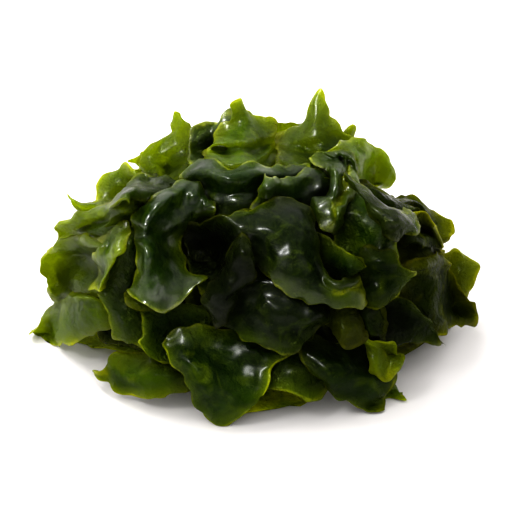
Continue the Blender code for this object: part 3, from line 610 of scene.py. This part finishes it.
# How much clear water each leaf carries. The others have little.
PLAIN_GLOSS = 0.05
LEAF_GLOSS = {
    "glossy_blade": 1.0, "right_fold_blade": 0.75, "top_grey_blade": 0.65, "top_folded_blade": 0.7,
    "hood_blade": 0.38, "speckled_leaf": 0.7, "left_sheen_blade": 0.4, "left_pointed_leaf": 0.32,
    "right_back_lobe": 1.0, "right_back_blade": 0.3, "tall_back_blade": 0.35, "thumb_blade": 0.2,
    "narrow_leaf": 0.2, "front_lobe": 0.12, "right_tongue_leaf": 0.2, "right_dark_strip": 0.0,
    "left_long_leaf": 0.3, "left_cup_blade": 0.5, "back_grey_blade": 0.7, "middle_disc": 0.17,
    "right_big_leaf": 0.0, "right_far_leaf": 0.0, "upper_left_lobe": 0.25, "low_right_blade": 0.1,
}
print(len(LEAF_TONE_AND_LIGHT), "leaves with their own lightness,", len(LEAF_GLOSS), "with their own water")

# %% [markdown]
# Subdivision rounds the cage off but also shrinks it. To keep the outline, the cage is first moved
# outwards, step by step, until its rounded form comes close to the corners of the CAD solid.

# %% Hold the outline
HOLD_STEPS, HOLD_SHARE = 6, 0.9


def corner_places(mesh, count):
    places = np.empty(len(mesh.vertices) * 3, np.float32)
    mesh.vertices.foreach_get("co", places)
    return places.reshape(-1, 3)[:count]


def hold_outline(leaf, smooth):
    """Moves the cage outwards until its rounded form passes through the CAD solid's corners."""
    count = len(leaf.data.vertices)
    wanted = corner_places(leaf.data, count).copy()
    cage = wanted.copy()
    smooth.levels = 1
    for _ in range(HOLD_STEPS):
        bpy.context.view_layer.update()
        rounded = leaf.evaluated_get(bpy.context.evaluated_depsgraph_get()).to_mesh()
        cage += (wanted - corner_places(rounded, count)) * HOLD_SHARE
        leaf.evaluated_get(bpy.context.evaluated_depsgraph_get()).to_mesh_clear()
        leaf.data.vertices.foreach_set("co", cage.ravel())
        leaf.data.update()


# %% [markdown]
# Real leaves ripple, because their rims have grown longer than their middles. One wave field in
# space bends all leaves together, so neighbours move much the same way. Near the rims a tighter
# ruffle is added. The solids lie only 0.3 mm apart, so the ruffled leaves cross their neighbours in
# places. The bend takes nothing below the table.

# %% Waves and ruffles
# Wave length and height of the field's layers, in metres.
WAVES = ((0.016, 0.0007), (0.0075, 0.0008), (0.0034, 0.00040), (0.0018, 0.00009))
# Length and height of the ruffles, and how far in from the rim they reach.
RUFFLES = ((0.009, 0.0013, 0.007), (0.0034, 0.0011, 0.0035))
FIELD_SHIFTS = (3.7, 17.2, 41.9)
RUFFLE_SHIFT = Vector((0.3, 0.1, 0.2))
FLOOR_CLEARANCE = 0.0002


def field(point, length):
    """A smooth vector between about -1 and 1 that changes over the given length."""
    at = point / length
    return Vector([noise.noise(at + Vector((shift, -shift, shift))) for shift in FIELD_SHIFTS])


def bend(mesh):
    """Moves the vertices by the wave field, and those near the rim by the ruffle too."""
    inward = np.empty(len(mesh.vertices), np.float32)
    mesh.attributes["inward"].data.foreach_get("value", inward)
    for vertex, depth in zip(mesh.vertices, inward):
        place = vertex.co.copy()
        move = hollow(place)
        for length, height in WAVES:
            move += field(place, length) * height
        for length, height, reach in RUFFLES:
            share = max(0.0, 1 - float(depth) / reach)
            if share:
                move += field(place + RUFFLE_SHIFT, length) * height * share**2
        vertex.co = place + move
        vertex.co.z = max(vertex.co.z, min(place.z, FLOOR_CLEARANCE))


# %% [markdown]
# Now each leaf is grown from its node: measure the cage, thin its rim, round it off, bend it. The
# leaves under the heap are hardly seen and get fewer faces. Each leaf takes the place of its node
# and moves with the heap's one body.

# %% Grow one leaf
FINE_LEVELS, PLAIN_LEVELS = 3, 2
PLAIN_STARTS = ("inner_", "floor_")


def grow_leaf(name, node):
    """The soft leaf that stands for a CAD node."""
    cage = cage_of(node)
    water = LEAF_GLOSS.get(node.name, PLAIN_GLOSS)
    # Onto the mesh: distance from the rim, painted shade times the leaf's lightness, and water.
    measured = {
        "inward": measure_inward(cage),
        "shade": measure_shade(cage, LEAF_TONE_AND_LIGHT.get(node.name, 1.0)),
        "gloss": [water * (1 - under_hood(vertex.co)) for vertex in cage.verts],
    }
    thin_rim(cage)
    mesh = bpy.data.meshes.new(name)
    cage.to_mesh(mesh)
    cage.free()
    for word, values in measured.items():
        mesh.attributes.new(word, "FLOAT", "POINT").data.foreach_set("value", values)
    leaf = new_object(name, mesh)
    smooth = leaf.modifiers.new("rounding", "SUBSURF")
    hold_outline(leaf, smooth)
    smooth.levels = PLAIN_LEVELS if name.startswith(PLAIN_STARTS) else FINE_LEVELS
    graph = bpy.context.evaluated_depsgraph_get()
    leaf.data = bpy.data.meshes.new_from_object(leaf.evaluated_get(graph))
    leaf.modifiers.clear()
    bend(leaf.data)
    leaf.data.shade_smooth()
    return leaf


# %% Grow all leaves
# Dim is painted shade for leaves under others; thin is partly thinness, partly painted light.
def clearness_and_light_of(name):
    return "dim" if name in DIM_LEAVES else "thin" if name in THIN_LEAVES else "plain"


slots = {row["node"]: row["material_slot"] for row in frame["record"]["subparts"]}
leaves = {}
for node_name, node in sorted(frame["nodes"].items()):
    leaf = grow_leaf(node_name + "_leaf", node)
    slot = slots[node_name]
    leaf.data.materials.clear()
    leaf.data.materials.append(leaf_materials[slot, clearness_and_light_of(node_name)])
    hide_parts(node_name)
    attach(leaf, "root")
    leaves[node_name] = leaf
print(len(leaves), "leaves,", sum(len(leaf.data.polygons) for leaf in leaves.values()), "faces")
